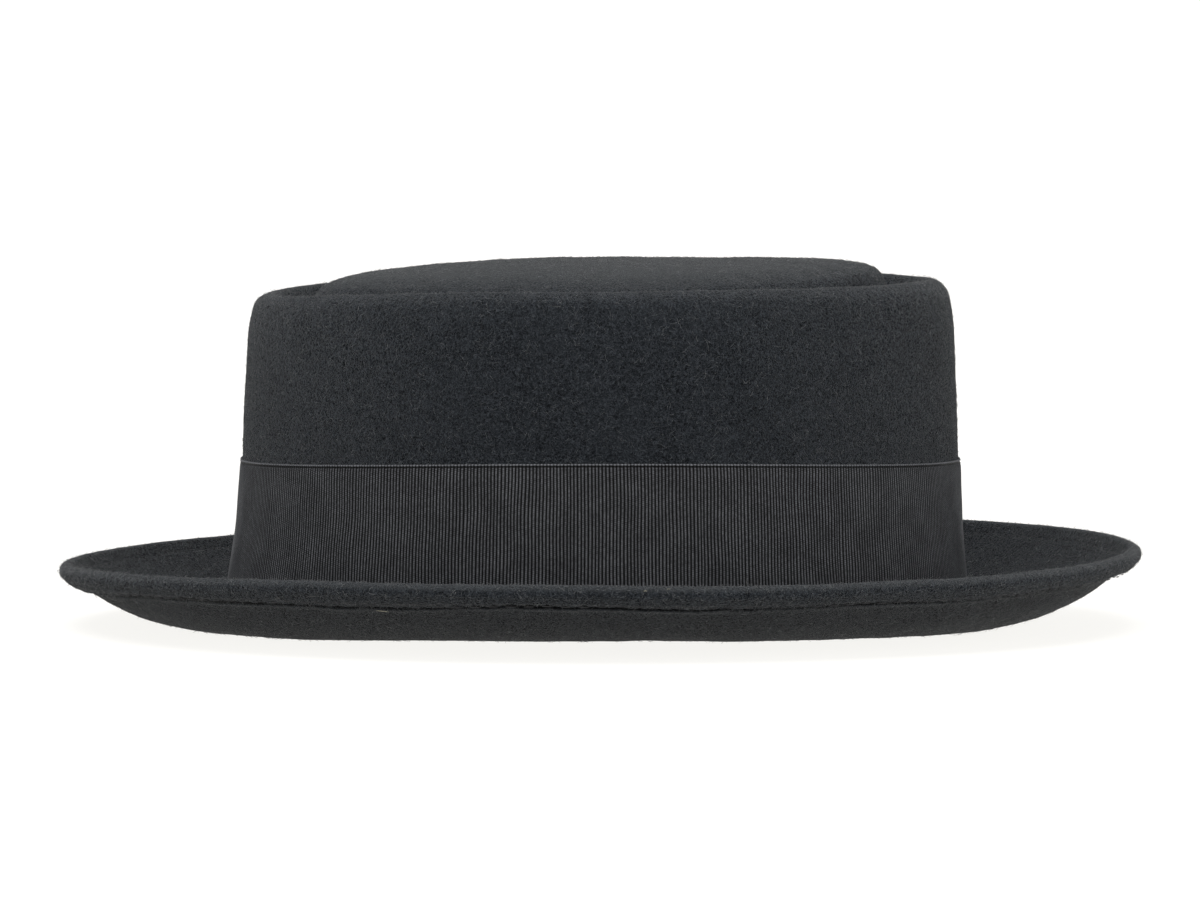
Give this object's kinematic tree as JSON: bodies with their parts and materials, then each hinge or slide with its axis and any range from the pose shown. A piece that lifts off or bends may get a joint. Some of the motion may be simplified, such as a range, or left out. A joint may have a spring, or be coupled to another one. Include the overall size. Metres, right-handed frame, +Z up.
{
  "type": "felt pork pie hat",
  "caption": "Black felt pork pie hat with a creased flat crown, a grosgrain ribbon band and an upturned brim with a stitched hem, open underneath for the head.",
  "frame": {"origin": "middle of the brim's outline, on the surface that the brim rests on", "axes": "+X towards the front of the hat, +Y towards the wearer's left, +Z up through the crown"},
  "size_m": [0.3033, 0.2702, 0.1028],
  "materials": {
    "felt": "matt black wool felt with a short uneven nap, slightly lighter where the light grazes it",
    "grosgrain": "black ribbed ribbon with a soft sheen and narrow smooth edges"
  },
  "bodies": {
    "root": {"felt_body": "felt", "ribbon_band": "grosgrain"}
  },
  "joints": []
}
